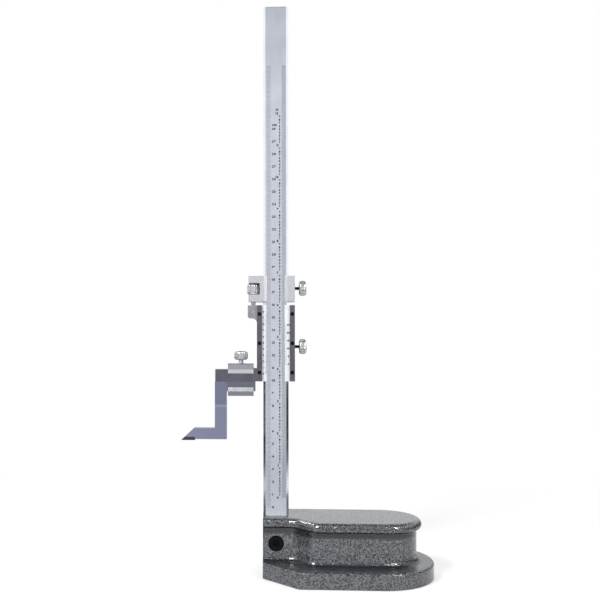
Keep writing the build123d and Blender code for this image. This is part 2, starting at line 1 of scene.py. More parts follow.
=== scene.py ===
"""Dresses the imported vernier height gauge: finishes, scales, threads, knobs and the studio round it."""

import math

import bmesh
import bpy
from mathutils import Matrix, Vector


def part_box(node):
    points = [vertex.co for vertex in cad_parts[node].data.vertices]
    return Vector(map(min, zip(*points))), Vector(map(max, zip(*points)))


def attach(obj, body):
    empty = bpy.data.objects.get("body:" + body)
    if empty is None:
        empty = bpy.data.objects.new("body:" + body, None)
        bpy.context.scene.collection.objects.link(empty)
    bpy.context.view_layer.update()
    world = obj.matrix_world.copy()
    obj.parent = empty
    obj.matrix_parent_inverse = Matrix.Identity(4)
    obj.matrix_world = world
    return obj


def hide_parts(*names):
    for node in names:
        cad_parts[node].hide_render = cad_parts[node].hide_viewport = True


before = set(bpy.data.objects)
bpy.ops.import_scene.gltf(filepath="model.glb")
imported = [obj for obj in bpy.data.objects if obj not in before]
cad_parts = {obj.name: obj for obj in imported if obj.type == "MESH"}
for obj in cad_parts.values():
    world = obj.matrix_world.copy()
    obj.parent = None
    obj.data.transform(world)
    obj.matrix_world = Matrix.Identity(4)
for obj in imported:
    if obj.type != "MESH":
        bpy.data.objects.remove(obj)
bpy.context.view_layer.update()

bl_info = {
    "name": "Vernier height gauge",
    "version": (1, 0, 0),
    "blender": (4, 5, 0),
    "location": "3D View > Sidebar > Gauge",
    "description": "Finishes, scales, threads and knobs of a vernier height gauge",
    "category": "Object",
}

INCH = 0.0254
METRIC_VERNIER = (0.049, 50)  # length of the scale and how many parts it has
INCH_VERNIER = (1.225 * INCH, 25)
SIDEWAYS, UPRIGHT = (1, 0, 0), (0, 0, 1)
WHITE = (1.0, 1.0, 1.0, 1.0)


# ---------------------------------------------------------------- nodes

class Wire:
    """An output on its way through a node tree. Arithmetic on it adds Math nodes."""

    def __init__(self, nodes, socket):
        self.nodes = nodes
        self.socket = socket

    def math(self, operation, *terms):
        return self.nodes.node("ShaderNodeMath", {"operation": operation}, dict(enumerate(terms)))

    def __add__(self, other):
        return self.math("ADD", self, other)

    def __sub__(self, other):
        return self.math("SUBTRACT", self, other)

    def __mul__(self, other):
        return self.math("MULTIPLY", self, other)

    def __truediv__(self, other):
        return self.math("DIVIDE", self, other)

    def __mod__(self, other):
        return self.math("FLOORED_MODULO", self, other)

    def __rmod__(self, other):
        return self.math("FLOORED_MODULO", other, self)

    def __lt__(self, other):
        return self.math("LESS_THAN", self, other)

    def __gt__(self, other):
        return self.math("GREATER_THAN", self, other)

    def __rsub__(self, other):
        return self.math("SUBTRACT", other, self)

    def __rtruediv__(self, other):
        return self.math("DIVIDE", other, self)

    __radd__ = __add__
    __rmul__ = __mul__


def emptied(holder):
    """The node tree of a material or a world, without the nodes that it starts with."""
    holder.use_nodes = True
    holder.node_tree.nodes.clear()
    return holder.node_tree


class Nodes:
    """Adds nodes to a tree, whichever editor it belongs to."""

    def __init__(self, tree):
        self.tree = tree

    def feed(self, socket, value):
        """Links a wire, or each of several wires, to a socket, or sets the socket's own value."""
        if isinstance(value, Wire):
            self.tree.links.new(value.socket, socket)
        elif isinstance(value, list):
            for wire in value:
                self.tree.links.new(wire.socket, socket)
        else:
            socket.default_value = value

    def node(self, kind, settings=None, inputs=None, output=0):
        """Adds a node: its settings first, then its sockets, by place or by name. Gives one output."""
        made = self.tree.nodes.new(kind)
        for name, value in (settings or {}).items():
            setattr(made, name, value)
        for key, value in (inputs or {}).items():
            if isinstance(key, int):
                socket = made.inputs[key]
            else:
                socket = next(s for s in made.inputs if s.enabled and s.name == key)
            self.feed(socket, value)
        if isinstance(output, str):
            output = next(i for i, s in enumerate(made.outputs) if s.enabled and s.name == output)
        return Wire(self, made.outputs[output])

    def vector(self, x, y, z):
        return self.node("ShaderNodeCombineXYZ", None, {0: x, 1: y, 2: z})

    def end(self, kind, wire):
        """Adds the node that ends the tree."""
        self.tree.links.new(wire.socket, self.tree.nodes.new(kind).inputs[0])


class Finish(Nodes):
    """A material in the making. Plain numbers go on its shader at once, and what varies is fed to it."""

    def __init__(self, name, values):
        self.material = bpy.data.materials.new(name)
        super().__init__(emptied(self.material))
        self.shader = self.tree.nodes.new("ShaderNodeBsdfPrincipled")
        self.output = self.tree.nodes.new("ShaderNodeOutputMaterial")
        self.tree.links.new(self.shader.outputs["BSDF"], self.output.inputs["Surface"])
        self.set(values)
        self.place = self.node("ShaderNodeTexCoord", output="Object")

    def set(self, values):
        for name, value in values.items():
            self.feed(self.shader.inputs[name], value)

    def axis(self, name):
        return self.node("ShaderNodeSeparateXYZ", None, {0: self.place}, name)

    def noise(self, size, stretch=(1, 1, 1), detail=2.0):
        """Noise whose features are about one size, drawn out along the axes whose stretch is over 1."""
        scale = tuple(1 / (size * s) for s in stretch)
        spot = self.node("ShaderNodeMapping", None, {"Vector": self.place, "Scale": scale})
        return self.node("ShaderNodeTexNoise", None, {"Vector": spot, "Scale": 1.0, "Detail": detail}, "Fac")

    def ramp(self, value, low, high):
        """0 below low, 1 above high, smooth between."""
        return self.node(
            "ShaderNodeMapRange", {"interpolation_type": "SMOOTHSTEP"},
            {"Value": value, "From Min": low, "From Max": high},
        )

    def band(self, value, start, full, fading, end):
        """1 from full to fading, and smoothly down to 0 at start and end."""
        return self.ramp(value, start, full) * (1 - self.ramp(value, fading, end))

    def blend(self, low, high, share):
        """A colour between two colours."""
        return self.node(
            "ShaderNodeMix", {"data_type": "RGBA"},
            {"Factor": share, "A": low, "B": high}, "Result",
        )

    def bump(self, height, depth, strength=1.0):
        return self.node("ShaderNodeBump", None, {"Height": height, "Distance": depth, "Strength": strength})


class Pattern(Nodes):
    """A geometry tree in the making, with named inputs for its sizes."""

    kinds = {float: "NodeSocketFloat", int: "NodeSocketInt", tuple: "NodeSocketVector"}

    def __init__(self, name, values, material):
        super().__init__(bpy.data.node_groups.new(name, "GeometryNodeTree"))
        self.values = values
        self.material = material
        self.names = {}
        entry = self.tree.nodes.new("NodeGroupInput")
        for label, value in values.items():
            kind = self.kinds[type(value)]
            socket = self.tree.interface.new_socket(label, in_out="INPUT", socket_type=kind)
            self.names[label] = socket.identifier
        self.tree.interface.new_socket("Geometry", in_out="OUTPUT", socket_type="NodeSocketGeometry")
        self.wires = {label: Wire(self, entry.outputs[label]) for label in values}

    def __getitem__(self, label):
        return self.wires[label]

    def mesh(self, name, geometry):
        """Ends the tree, runs it once and gives the plain mesh that it makes."""
        whole = self.node("GeometryNodeRealizeInstances", None, {0: geometry})
        whole = self.node("GeometryNodeSetMaterial", None, {0: whole, "Material": self.material})
        self.end("NodeGroupOutput", whole)
        holder = bpy.data.objects.new(name, bpy.data.meshes.new(name))
        bpy.context.scene.collection.objects.link(holder)
        modifier = holder.modifiers.new(name, "NODES")
        modifier.node_group = self.tree
        for label, value in self.values.items():
            modifier[self.names[label]] = value
        shown = holder.evaluated_get(bpy.context.evaluated_depsgraph_get())
        made = bpy.data.meshes.new_from_object(shown)
        bpy.data.objects.remove(holder)
        return made


def piece(name, mesh, body, replaced=()):
    """Links a finished mesh as a piece that rides on a body."""
    made = bpy.data.objects.new(name, mesh)
    bpy.context.scene.collection.objects.link(made)
    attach(made, body)
    if replaced:
        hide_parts(*replaced)


# ---------------------------------------------------------------- finishes

ALONG_X, ALONG_Y, ALONG_Z = (40, 1, 1), (1, 40, 1), (1, 1, 40)  # how grinding lines are drawn out
GRINDING = 0.00012  # width of a grinding line


def opaque(colour, share=1.0):
    """A colour with its alpha, made darker or lighter by a share."""
    return (*[min(1.0, part * share) for part in colour], 1)


def hammered_paint(look):
    """Glossy grey paint that dries in small dimples, over a ground sole, with painted shade in bands under
    the rim and at the foot of the web.
    """
    finish = Finish("paint_finish", {"IOR": 1.75})
    low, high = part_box("base_casting")
    dimple, pool = look.dimple, look.pool
    wander = finish.node(
        "ShaderNodeTexNoise", None, {"Vector": finish.place, "Scale": 0.7 / dimple, "Detail": 1.0}, "Color",
    )
    drift = finish.node(
        "ShaderNodeVectorMath", {"operation": "MULTIPLY_ADD"},
        {0: wander, 1: (dimple * 0.9,) * 3, 2: finish.place},
    )
    cells = finish.node(
        "ShaderNodeTexVoronoi", {"feature": "F1"}, {"Vector": drift, "Scale": 1 / dimple}, "Distance",
    )
    field = finish.ramp(cells, 0.24, 0.60)
    grain = finish.noise(dimple * 0.9)
    patches = finish.noise(dimple * 9)
    relief = field * 0.65 + grain * 0.5
    blotch = finish.ramp(grain, 0.42, 0.60)
    # the paint's own speckled tone, random over the surface
    shade = finish.ramp(blotch * 0.6 + field * 0.4 + patches * 0.2, 0.32, 0.95)
    height = finish.axis("Z")
    bare = height < low.z + look.sole_skin
    rim = high.z - look.rim_depth
    flange = low.z + look.flange_depth
    # Painted shade: a darker paint colour in a band under the rim and at the foot of the web stands for the
    # shadow there.
    shade_under_rim = finish.band(height, rim - pool * 1.6, rim - pool, rim, rim + pool * 0.4)
    shade_at_web_foot = finish.band(
        height, flange - pool * 0.1, flange + pool * 0.1, flange + pool * 0.5, flange + pool * 1.2
    )
    painted_shade = (shade_under_rim + shade_at_web_foot) * look.pooled_share
    paint = finish.blend(opaque(look.paint_dark), opaque(look.paint_light), shade * (1 - painted_shade))
    rings = finish.noise(0.0004, stretch=(30, 1, 1))
    iron = finish.blend(opaque(look.iron_dark), opaque(look.iron_light), rings)
    finish.set({
        "Base Color": finish.blend(paint, iron, bare),
        "Metallic": bare + shade * (1 - bare) * look.flakes,
        "Roughness": 0.1 + bare * 0.28,
        "Normal": finish.bump(relief * (1 - bare) + rings * bare * 0.05, dimple * 0.12, 0.8),
    })
    return finish.material


def ground_metal(name, colour, roughness, grain, depth=0.000004, contrast=0.18):
    """Ground or satin metal with fine lines along one axis and faint clouds of tone."""
    finish = Finish(name, {"Metallic": 1.0})
    lines = finish.noise(GRINDING, stretch=grain, detail=3.0)
    broad = finish.noise(0.0007, stretch=grain, detail=1.0)
    cloud = finish.noise(0.012, detail=3.0)
    tone = finish.ramp((lines - 0.5) * 0.7 + (broad - 0.5) * 0.5 + (cloud - 0.5) * 0.8 + 0.5, 0.15, 0.85)
    finish.set({
        "Base Color": finish.blend(opaque(colour, 1 - contrast), opaque(colour, 1 + contrast), tone),
        "Roughness": roughness * 0.8 + (lines * 0.25 + cloud * 0.15) * roughness,
        "Normal": finish.bump(lines + broad * 0.6, depth),
    })
    return finish.material


def clamp_steel(look):
    """Ground steel, with a painted dark reflection on the clamp's lower wall."""
    finish = Finish("clamp_finish", {"Metallic": 1.0})
    wall_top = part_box("scriber_clamp_frame")[0].z + look.clamp_wall
    fade = 0.0002
    lines = finish.noise(GRINDING, stretch=ALONG_X, detail=3.0)
    cloud = finish.noise(0.009, detail=3.0)
    bright = finish.blend(opaque(look.clamp, 0.88), opaque(look.clamp, 1.08), finish.ramp(lines, 0.3, 0.7))
    # Painted reflection: the lower wall is darkened to stand for the dark surroundings it reflects.
    raised = finish.ramp(finish.axis("Z"), wall_top - fade, wall_top + fade)
    finish.set({
        "Base Color": finish.blend(opaque(look.clamp, 0.6), bright, raised * 0.85 + cloud * 0.2),
        "Roughness": 0.15 + cloud * 0.08,
        "Normal": finish.bump(lines, 0.000003),
    })
    return finish.material


def scriber_steel(look):
    """Ground tool steel: a dark arm, a bluish leg and a bright line across it."""
    finish = Finish("scriber_finish", {"Metallic": 1.0})
    low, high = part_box("scriber")
    height = finish.axis("Z")
    lines = finish.noise(0.00015, stretch=ALONG_X, detail=3.0)
    cloud = finish.noise(0.008, detail=3.0)
    line_height = low.z + look.scriber_line
    line_core, line_edge = 0.0007, 0.0013
    leg_fade, arm_fade = 0.001, 0.0001
    upper = finish.ramp(height, line_height - leg_fade, line_height + leg_fade)
    leg = finish.blend(opaque(look.scriber_low), opaque(look.scriber_high), upper)
    beside = finish.axis("X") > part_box("slider_jaw_frame")[0].x + look.scriber_leg
    arm_low = high.z - look.scriber_arm_depth
    arm = finish.ramp(height, arm_low - arm_fade, arm_low + arm_fade) * beside
    steel = finish.blend(leg, opaque(look.scriber_arm), arm)
    off_line = finish.node("ShaderNodeMath", {"operation": "ABSOLUTE"}, {0: height - line_height})
    streak = (1 - finish.ramp(off_line, line_core, line_edge)) * (1 - beside)
    steel = finish.blend(steel, opaque(look.scriber_low, 1.25), streak)
    scratches = (lines * 0.6 + cloud * 0.7 - 0.4) * 0.45
    steel = finish.blend(steel, opaque(look.scriber_low, 0.62), scratches)
    finish.set({
        "Base Color": steel,
        "Roughness": 0.22 + cloud * 0.08,
        "Normal": finish.bump(lines, 0.000004),
    })
    return finish.material


def pearl_chrome(name, colour, roughness, metallic=1.0):
    """Satin chrome with the fine even grain that blasting leaves."""
    finish = Finish(name, {"Metallic": metallic})
    grain = finish.noise(0.00009)
    cloud = finish.noise(0.009, detail=3.0)
    tone = finish.ramp(grain * 0.5 + cloud * 0.6, 0.3, 0.85)
    finish.set({
        "Base Color": finish.blend(opaque(colour, 0.94), opaque(colour, 1.04), tone),
        "Roughness": roughness + (grain - 0.5) * 0.12,
        "Normal": finish.bump(grain, 0.000008),
    })
    return finish.material


def bright_chrome(look):
    """Polished chrome that has dulled in the flutes, with painted shade darkening them."""
    finish = Finish("knob_finish", {"Metallic": 1.0})
    smear = finish.noise(0.0018, detail=3.0)
    specks = finish.noise(0.0003)
    groove = finish.node("ShaderNodeAttribute", {"attribute_name": "groove"}, output="Fac")
    tone = finish.ramp(smear * 0.7 + specks * 0.4, 0.3, 0.8)
    worn = finish.blend(opaque(look.knob, 0.78), opaque(look.knob), tone)
    # Painted shade: the flutes are darkened by their depth, most near the knob's ends.
    flute_shade = finish.ramp(groove, 0.1, 0.75)
    finish.set({
        "Base Color": finish.blend(worn, opaque(look.knob, 0.16), flute_shade),
        "Roughness": 0.32 - tone * 0.1 + flute_shade * 0.12,
        "Normal": finish.bump(specks, 0.000006),
    })
    return finish.material


def black_oxide(look):
    """Blackened steel, a little uneven, with patches worn lighter."""
    finish = Finish("black_finish", {"Metallic": 0.0, "Specular IOR Level": 0.1})
    cloud = finish.noise(0.0016, detail=3.0)
    grain = finish.noise(0.00015)
    worn = (*[part * 1.9 + 0.004 for part in look.black], 1)
    finish.set({
        "Base Color": finish.blend(opaque(look.black), worn, finish.ramp(cloud, 0.45, 0.8)),
        "Roughness": 0.42 + (grain - 0.5) * 0.2,
        "Normal": finish.bump(grain, 0.00001),
    })
    return finish.material


def etched_ink(look):
    """Black filling of the etched lines and figures."""
    finish = Finish("ink_finish", {"Metallic": 0.0, "Specular IOR Level": 0.2})
    cloud = finish.noise(0.0009)
    finish.set({
        "Base Color": finish.blend(opaque(look.ink), opaque(look.ink, 2.2), finish.ramp(cloud, 0.35, 0.75)),
        "Roughness": 0.45 + (cloud - 0.5) * 0.2,
    })
    return finish.material


RECIPES = {
    "paint_finish": hammered_paint,
    "column_finish": lambda look: ground_metal("column_finish", look.column, 0.17, ALONG_Z, 0.000003, 0.06),
    "slider_finish": lambda look: ground_metal("slider_finish", look.slider, 0.3, ALONG_Z),
    "strip_finish": lambda look: ground_metal("strip_finish", look.strip, 0.28, ALONG_Z),
    "carrier_finish": lambda look: pearl_chrome("carrier_finish", look.carrier, 0.4),
    "plate_finish": lambda look: pearl_chrome("plate_finish", look.plate, 0.42, 0.2),
    "clamp_finish": clamp_steel,
    "scriber_finish": scriber_steel,
    "carbide_finish": lambda look: ground_metal("carbide_finish", look.carbide, 0.3, ALONG_Y),
    "screw_finish": lambda look: ground_metal("screw_finish", look.screw, 0.25, ALONG_Z),
    "knob_finish": bright_chrome,
    "black_finish": black_oxide,
    "ink_finish": etched_ink,
}


def finish_named(name):
    """A finish by its name, made the first time a piece asks for it."""
    return bpy.data.materials.get(name) or RECIPES[name](bpy.context.scene.gauge_look)


def dress(finish, *nodes):
    """Gives carried-over nodes a finish."""
    material = finish_named(finish)
    for name in nodes:
        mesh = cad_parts[name].data
        mesh.materials.clear()
        mesh.materials.append(material)


# ---------------------------------------------------------------- sizes and colours a user may change

def length(name, description, default):
    return bpy.props.FloatProperty(
        name=name, description=description, default=default, unit="LENGTH", precision=5, subtype="DISTANCE"
    )


def portion(name, description, default):
    return bpy.props.FloatProperty(name=name, description=description, default=default, min=0.0, max=1.0)


def colour(name, description, default):
    return bpy.props.FloatVectorProperty(
        name=name, description=description, default=default, subtype="COLOR", min=0.0, max=1.0
    )


class GaugeLook(bpy.types.PropertyGroup):
    """Colours of the finishes, and the sizes of what they show."""

    paint_dark: colour("Paint, dark", "Colour of the paint between its dimples", (0.006, 0.007, 0.008))
    paint_light: colour("Paint, light", "Colour of the paint on its dimples", (0.205, 0.218, 0.24))
    iron_dark: colour("Iron, dark", "Darker tone of the ground sole", (0.30, 0.30, 0.30))
    iron_light: colour("Iron, light", "Lighter tone of the ground sole", (0.46, 0.46, 0.47))
    dimple: length("Dimple", "Size of one dimple of the paint", 0.0012)
    sole_skin: length("Sole skin", "Height up to which the sole is ground bare", 0.0003)
    rim_depth: length("Rim depth", "From the top of the casting to the underside of its rim", 0.0074)
    flange_depth: length("Flange depth", "From the sole to the top of the flange", 0.0125)
    # Painted shade: the dark band under the rim and at the web's foot stands for shadow, drawn in the paint's
    # colour.
    pool: length("Paint pool", "Height of the dark band where the paint gathers under the rim", 0.0034)
    pooled_share: portion("Pooled paint", "How much darker the paint is where it gathers", 0.8)
    flakes: portion("Flakes", "Share of metal flakes in the paint's dimples", 0.45)
    column: colour("Column", "Satin chrome of the column", (0.86, 0.885, 0.93))
    slider: colour("Slider", "Steel of the slider's channel and lug", (0.414, 0.414, 0.431))
    strip: colour("Strips", "Dark steel of the strips and the jaw", (0.166, 0.166, 0.189))
    carrier: colour("Carrier", "Satin chrome of the carrier", (0.50, 0.51, 0.522))
    plate: colour("Vernier plates", "Pearl chrome of the vernier plates", (0.92, 0.94, 1.0))
    clamp: colour("Clamp", "Steel of the scriber's clamp", (0.53, 0.54, 0.575))
    # Painted reflection: the clamp's lower wall is darkened to stand for what it reflects.
    clamp_wall: length("Clamp wall", "Height of the clamp's darker lower wall", 0.0036)
    scriber_line: length("Scriber line", "Height of the bright line above the scriber's foot", 0.0264)
    scriber_leg: length("Scriber leg", "From the end of the jaw to where the dark arm starts", 0.0092)
    scriber_arm_depth: length("Scriber arm depth", "Depth of the scriber's dark arm", 0.0078)
    scriber_low: colour("Scriber, lower leg", "Blue-grey tool steel of leg and foot", (0.33, 0.345, 0.46))
    scriber_high: colour("Scriber, upper leg", "Darker steel above the bright line", (0.265, 0.285, 0.39))
    scriber_arm: colour("Scriber, arm", "Dark grey steel of the scriber's arm", (0.215, 0.22, 0.26))
    carbide: colour("Carbide", "Carbide of the tip", (0.07, 0.07, 0.08))
    screw: colour("Screws", "Steel of the bright screws", (0.62, 0.62, 0.63))
    knob: colour("Knobs", "Chrome of the knobs and the nut", (0.65, 0.65, 0.66))
    black: colour("Black oxide", "Blackened screws and stems", (0.003, 0.003, 0.0035))
    ink: colour("Ink", "Filling of the lines and figures", (0.008, 0.008, 0.011))


class GaugeScales(bpy.types.PropertyGroup):
    """Places and sizes of the lines and figures."""

    metric_zero: length("Metric zero", "Height of the column's first millimetre line", 0.0530)
    inch_zero: length("Inch zero", "Height of the column's first inch line", 0.0605)
    metric_vernier_zero: length("Metric vernier zero", "Height of the metric vernier's zero at rest", 0.1584)
    inch_vernier_zero: length("Inch vernier zero", "Height of the inch vernier's zero at rest", 0.1659)
    metric_band: length("Metric band", "From the column's axis to the metric lines' outer ends", 0.0073)
    inch_band: length("Inch band", "From the column's axis to the inch lines' outer ends", 0.0081)
    short_line: length("Short line", "Length of a plain line", 0.0032)
    middle_line: length("Middle line", "Length of a half-way line", 0.0035)
    long_line: length("Long line", "Length of a numbered line", 0.0038)
    metric_figures: length("Metric figures", "Left edge of the metric figures", -0.0030)
    inch_figures: length("Inch figures", "Right edge of the inch figures", 0.0021)
    tenth_figures: length("Tenths' figures", "Middle of the tenths' figures", 0.0030)
    line_width: length("Line width", "Width of a line", 0.00016)
    line_proud: length("Line height", "How far lines and figures stand off their face", 0.00002)
    figure: length("Figures", "Height of the column's main figures", 0.0020)
    small_figure: length("Small figures", "Height of the tenths' and the verniers' figures", 0.0016)
    vernier_bevel: length("Vernier bevel", "Width of the bevel that a vernier's lines run down", 0.0007)
    vernier_short: length("Vernier line", "Length of a plain line of a vernier", 0.0008)
    vernier_long: length("Vernier long line", "Length of a numbered line of a vernier", 0.0014)
    metric_vernier_figures: length("Metric vernier figures", "Middle of the metric figures", -0.0100)
    inch_vernier_figures: length("Inch vernier figures", "Middle of the inch figures", 0.0099)


class GaugeThreads(bpy.types.PropertyGroup):
    """Threads and knobs."""

    fine_pitch: length("Fine pitch", "Pitch of the fine adjustment screw and the clamp screw", 0.0007)
    lock_pitch: length("Lock pitch", "Pitch of the lock screws", 0.00045)
    thread_share: bpy.props.FloatProperty(
        name="Thread depth", description="Depth of a thread as a share of its pitch",
        default=0.38, min=0.1, max=0.49,
    )
    flutes: bpy.props.IntProperty(name="Flutes", description="Flutes round a knob", default=14, min=6, max=40)
    flute_depth: length("Flute depth", "Depth of a knob's flutes", 0.00038)
    knob_round: length("Knob rounding", "Rounding of a knob's ends", 0.0020)
    dish_depth: length("Dish depth", "Depth of the dish in a knob's outer end", 0.0007)
    dish_rim: length("Dish rim", "Width of the rim round that dish", 0.0015)
    grip: length("Grip", "How far a stem goes into its knob", 0.0030)
    bore_play: length("Bore play", "Gap between a stem and its bore", 0.00005)


class GaugeStage(bpy.types.PropertyGroup):
    """Camera and light."""

    camera_place: bpy.props.FloatVectorProperty(
        name="Camera", description="Place of the camera", default=(0.0, -0.650, 0.1851),
        subtype="XYZ", unit="LENGTH",
    )
    camera_tilt: bpy.props.FloatProperty(
        name="Tilt", description="How far the camera looks up", default=math.radians(0.8), subtype="ANGLE",
    )
    camera_turn: bpy.props.FloatProperty(
        name="Turn", description="How far the camera looks left", default=math.radians(3.2), subtype="ANGLE",
    )
    focal_length: bpy.props.FloatProperty(
        name="Focal length", description="Focal length on a 36 mm sensor", default=48.75, unit="CAMERA"
    )
    shift: bpy.props.FloatVectorProperty(
        name="Shift", description="Shift of the camera's frame", default=(0.1159, 0.0477), size=2
    )
    fill: bpy.props.FloatProperty(name="Fill", description="Strength of the light all round", default=0.35)


# ---------------------------------------------------------------- scales

def line_pattern(name, material, values):
    """Lines up a face, of three lengths, drawn from the side where they all end level."""
    tree = Pattern(name, values, material)
    index = tree.node("GeometryNodeInputIndex")
    halfway = 1 - (index % tree["Half every"] > 0.5)
    numbered = 1 - (index % tree["Long every"] > 0.5)
    reach = tree["Short"] + halfway * (tree["Middle"] - tree["Short"])
    reach = reach + numbered * (tree["Long"] - reach)
    rise = tree.vector(0.0, 0.0, tree["Pitch"])
    points = tree.node(
        "GeometryNodeMeshLine", None,
        {"Count": tree["Count"], "Start Location": tree["Start"], "Offset": rise},
    )
    points = tree.node(
        "GeometryNodeSetPosition", None,
        {"Geometry": points, "Offset": tree.vector(reach * tree["Side"] * 0.5, 0.0, 0.0)},
    )
    bar = tree.node("GeometryNodeMeshCube", None, {"Size": (1.0, 1.0, 1.0)}, "Mesh")
    bars = tree.node(
        "GeometryNodeInstanceOnPoints", None,
        {"Points": points, "Instance": bar, "Scale": tree.vector(reach, tree["Proud"] * 2, tree["Width"]),
         "Rotation": tree.node(
             "FunctionNodeEulerToRotation", None, {0: tree.vector(0.0, 0.0, tree["Turn"])}
         )},
    )
    return tree.mesh(name, bars)


def lines(name, body, face_y, start_x, side, zero, pitch, count, half_every, long_every, reaches, turn=0.0):
    """One band of lines on a face that looks to -Y."""
    scales = bpy.context.scene.gauge_scales
    values = {
        "Start": (start_x, face_y, zero), "Pitch": pitch, "Count": count, "Side": float(side),
        "Short": reaches[0], "Middle": reaches[1], "Long": reaches[2],
        "Half every": float(half_every), "Long every": float(long_every),
        "Width": scales.line_width, "Proud": scales.line_proud, "Turn": turn,
    }
    mesh = line_pattern(name, finish_named("ink_finish"), values)
    piece(name, mesh, body)


class Figures:
    """Figures on faces that look to -Y, gathered into one mesh."""

    def __init__(self, proud):
        self.proud = proud
        self.glyphs = {}
        self.points = []
        self.faces = []

    def glyph(self, character):
        """Corners and faces of one figure, 1 high, from its lower left corner, with its width."""
        if character not in self.glyphs:
            text = bpy.data.curves.new("figure", "FONT")
            text.body = character
            text.size = 1.0
            text.extrude = 0.5
            text.offset = 0.06
            text.resolution_u = 3
            holder = bpy.data.objects.new("figure", text)
            bpy.context.scene.collection.objects.link(holder)
            shown = holder.evaluated_get(bpy.context.evaluated_depsgraph_get())
            mesh = bpy.data.meshes.new_from_object(shown)
            corners = [v.co.copy() for v in mesh.vertices]
            low = Vector(min(c[i] for c in corners) for i in range(3))
            high = Vector(max(c[i] for c in corners) for i in range(3))
            scale = 1 / (high.y - low.y)
            placed = [((c.x - low.x) * scale, (c.y - low.y) * scale, c.z) for c in corners]
            polygons = [tuple(p.vertices) for p in mesh.polygons]
            self.glyphs[character] = (placed, polygons, (high.x - low.x) * scale)
            bpy.data.objects.remove(holder)
            bpy.data.meshes.remove(mesh)
            bpy.data.curves.remove(text)
        return self.glyphs[character]

    def write(self, word, x, y, z, height, share=0.5):
        """Writes a word level with a point, with that share of its width to the left of it."""
        gap = 0.16
        width = sum(self.glyph(c)[2] for c in word) + gap * (len(word) - 1)
        left = x - width * height * share
        for character in word:
            placed, polygons, wide = self.glyph(character)
            first = len(self.points)
            self.points += [
                (left + px * height, y - pz * 2 * self.proud, z + (py - 0.5) * height)
                for px, py, pz in placed
            ]
            self.faces += [tuple(first + i for i in polygon) for polygon in polygons]
            left += (wide + gap) * height

    def mesh(self, name):
        mesh = bpy.data.meshes.new(name)
        mesh.from_pydata(self.points, [], self.faces)
        mesh.materials.append(finish_named("ink_finish"))
        mesh.update()
        return mesh


class GAUGE_OT_column_scale(bpy.types.Operator):
    """Etch the metric and inch scales on the column"""

    bl_idname = "gauge.column_scale"
    bl_label = "Column scales"

    def execute(self, context):
        scales = context.scene.gauge_scales
        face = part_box("column")[0].y
        reaches = (scales.short_line, scales.middle_line, scales.long_line)
        millimetre, centimetre = 0.001, 0.01
        fortieth, tenth_inch = INCH / 40, INCH / 10
        metric_lines, inch_lines = 351, 541
        last_centimetre, last_inch = 30, 12
        above_last = scales.figure * 1.5
        lines("column_metric_lines", "root", face, -scales.metric_band, 1, scales.metric_zero, millimetre,
              metric_lines, 5, 10, reaches)
        lines("column_inch_lines", "root", face, scales.inch_band, -1, scales.inch_zero, fortieth,
              inch_lines, 2, 4, reaches)
        metric = Figures(scales.line_proud)
        for number in range(last_centimetre + 1):
            height = scales.metric_zero + number * centimetre
            metric.write(str(number), scales.metric_figures, face, height, scales.figure, share=0.0)
        top = scales.metric_zero + last_centimetre * centimetre + above_last
        metric.write("cm", scales.metric_figures, face, top, scales.small_figure, share=0.0)
        piece("column_metric_figures", metric.mesh("column_metric_figures"), "root")
        inches = Figures(scales.line_proud)
        for tenth in range(last_inch * 10 + 1):
            height = scales.inch_zero + tenth * tenth_inch
            if tenth % 10:
                size = scales.small_figure * 1.15
                inches.write(str(tenth % 10), scales.tenth_figures, face, height, size)
            else:
                inches.write(str(tenth // 10), scales.inch_figures, face, height, scales.figure, share=1.0)
        top = scales.inch_zero + last_inch * INCH + above_last
        inches.write("in", scales.inch_figures, face, top, scales.small_figure, share=1.0)
        piece("column_inch_figures", inches.mesh("column_inch_figures"), "root")
        return {"FINISHED"}


class GAUGE_OT_vernier_scales(bpy.types.Operator):
    """Etch the metric and inch verniers on the slider's plates"""

    bl_idname = "gauge.vernier_scales"
    bl_label = "Vernier scales"

    def execute(self, context):
        scales = context.scene.gauge_scales
        low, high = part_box("vernier_plate_mm")
        front = low.y
        edge = -high.x
        bevel = scales.vernier_bevel
        reaches = (scales.vernier_short, scales.vernier_long, scales.vernier_long)
        numbered = 5  # every fifth line is a long one
        lean = math.radians(45)
        slope = bevel / math.cos(lean)
        for name, side, zero, (span, parts) in (
            ("metric", -1, scales.metric_vernier_zero, METRIC_VERNIER),
            ("inch", 1, scales.inch_vernier_zero, INCH_VERNIER),
        ):
            spacing = (side, zero, span / parts, parts + 1, numbered, numbered)
            lines(f"vernier_{name}_lines", "slider", front, side * (edge + bevel), *spacing, reaches)
            lines(f"vernier_{name}_edge_lines", "slider", front + bevel / 2,
                  side * (edge + bevel / 2 - slope / 2), *spacing, (slope,) * 3, -side * lean)
        metric = Figures(scales.line_proud)
        for number in range(11):
            height = scales.metric_vernier_zero + number * METRIC_VERNIER[0] / 10
            metric.write(str(number % 10), scales.metric_vernier_figures, front, height, scales.small_figure)
        piece("vernier_metric_figures", metric.mesh("vernier_metric_figures"), "slider")
        inches = Figures(scales.line_proud)
        for number in range(0, INCH_VERNIER[1] + 1, numbered):
            height = scales.inch_vernier_zero + number * INCH_VERNIER[0] / INCH_VERNIER[1]
            inches.write(str(number), scales.inch_vernier_figures, front, height, scales.small_figure)
        piece("vernier_inch_figures", inches.mesh("vernier_inch_figures"), "slider")
        return {"FINISHED"}


# ---------------------------------------------------------------- knobs and threads

def arc(centre_r, centre_h, radius, start, end, steps=7):
    """Points round a quarter of a circle in a profile, as radius and height."""
    turns = [math.radians(start + (end - start) * i / steps) for i in range(steps + 1)]
    return [(centre_r + radius * math.cos(t), centre_h + radius * math.sin(t)) for t in turns]


def straight(start, end, steps):
    """Points between two places of a profile, without its ends."""
    return [tuple(a + (b - a) * i / steps for a, b in zip(start, end)) for i in range(1, steps)]


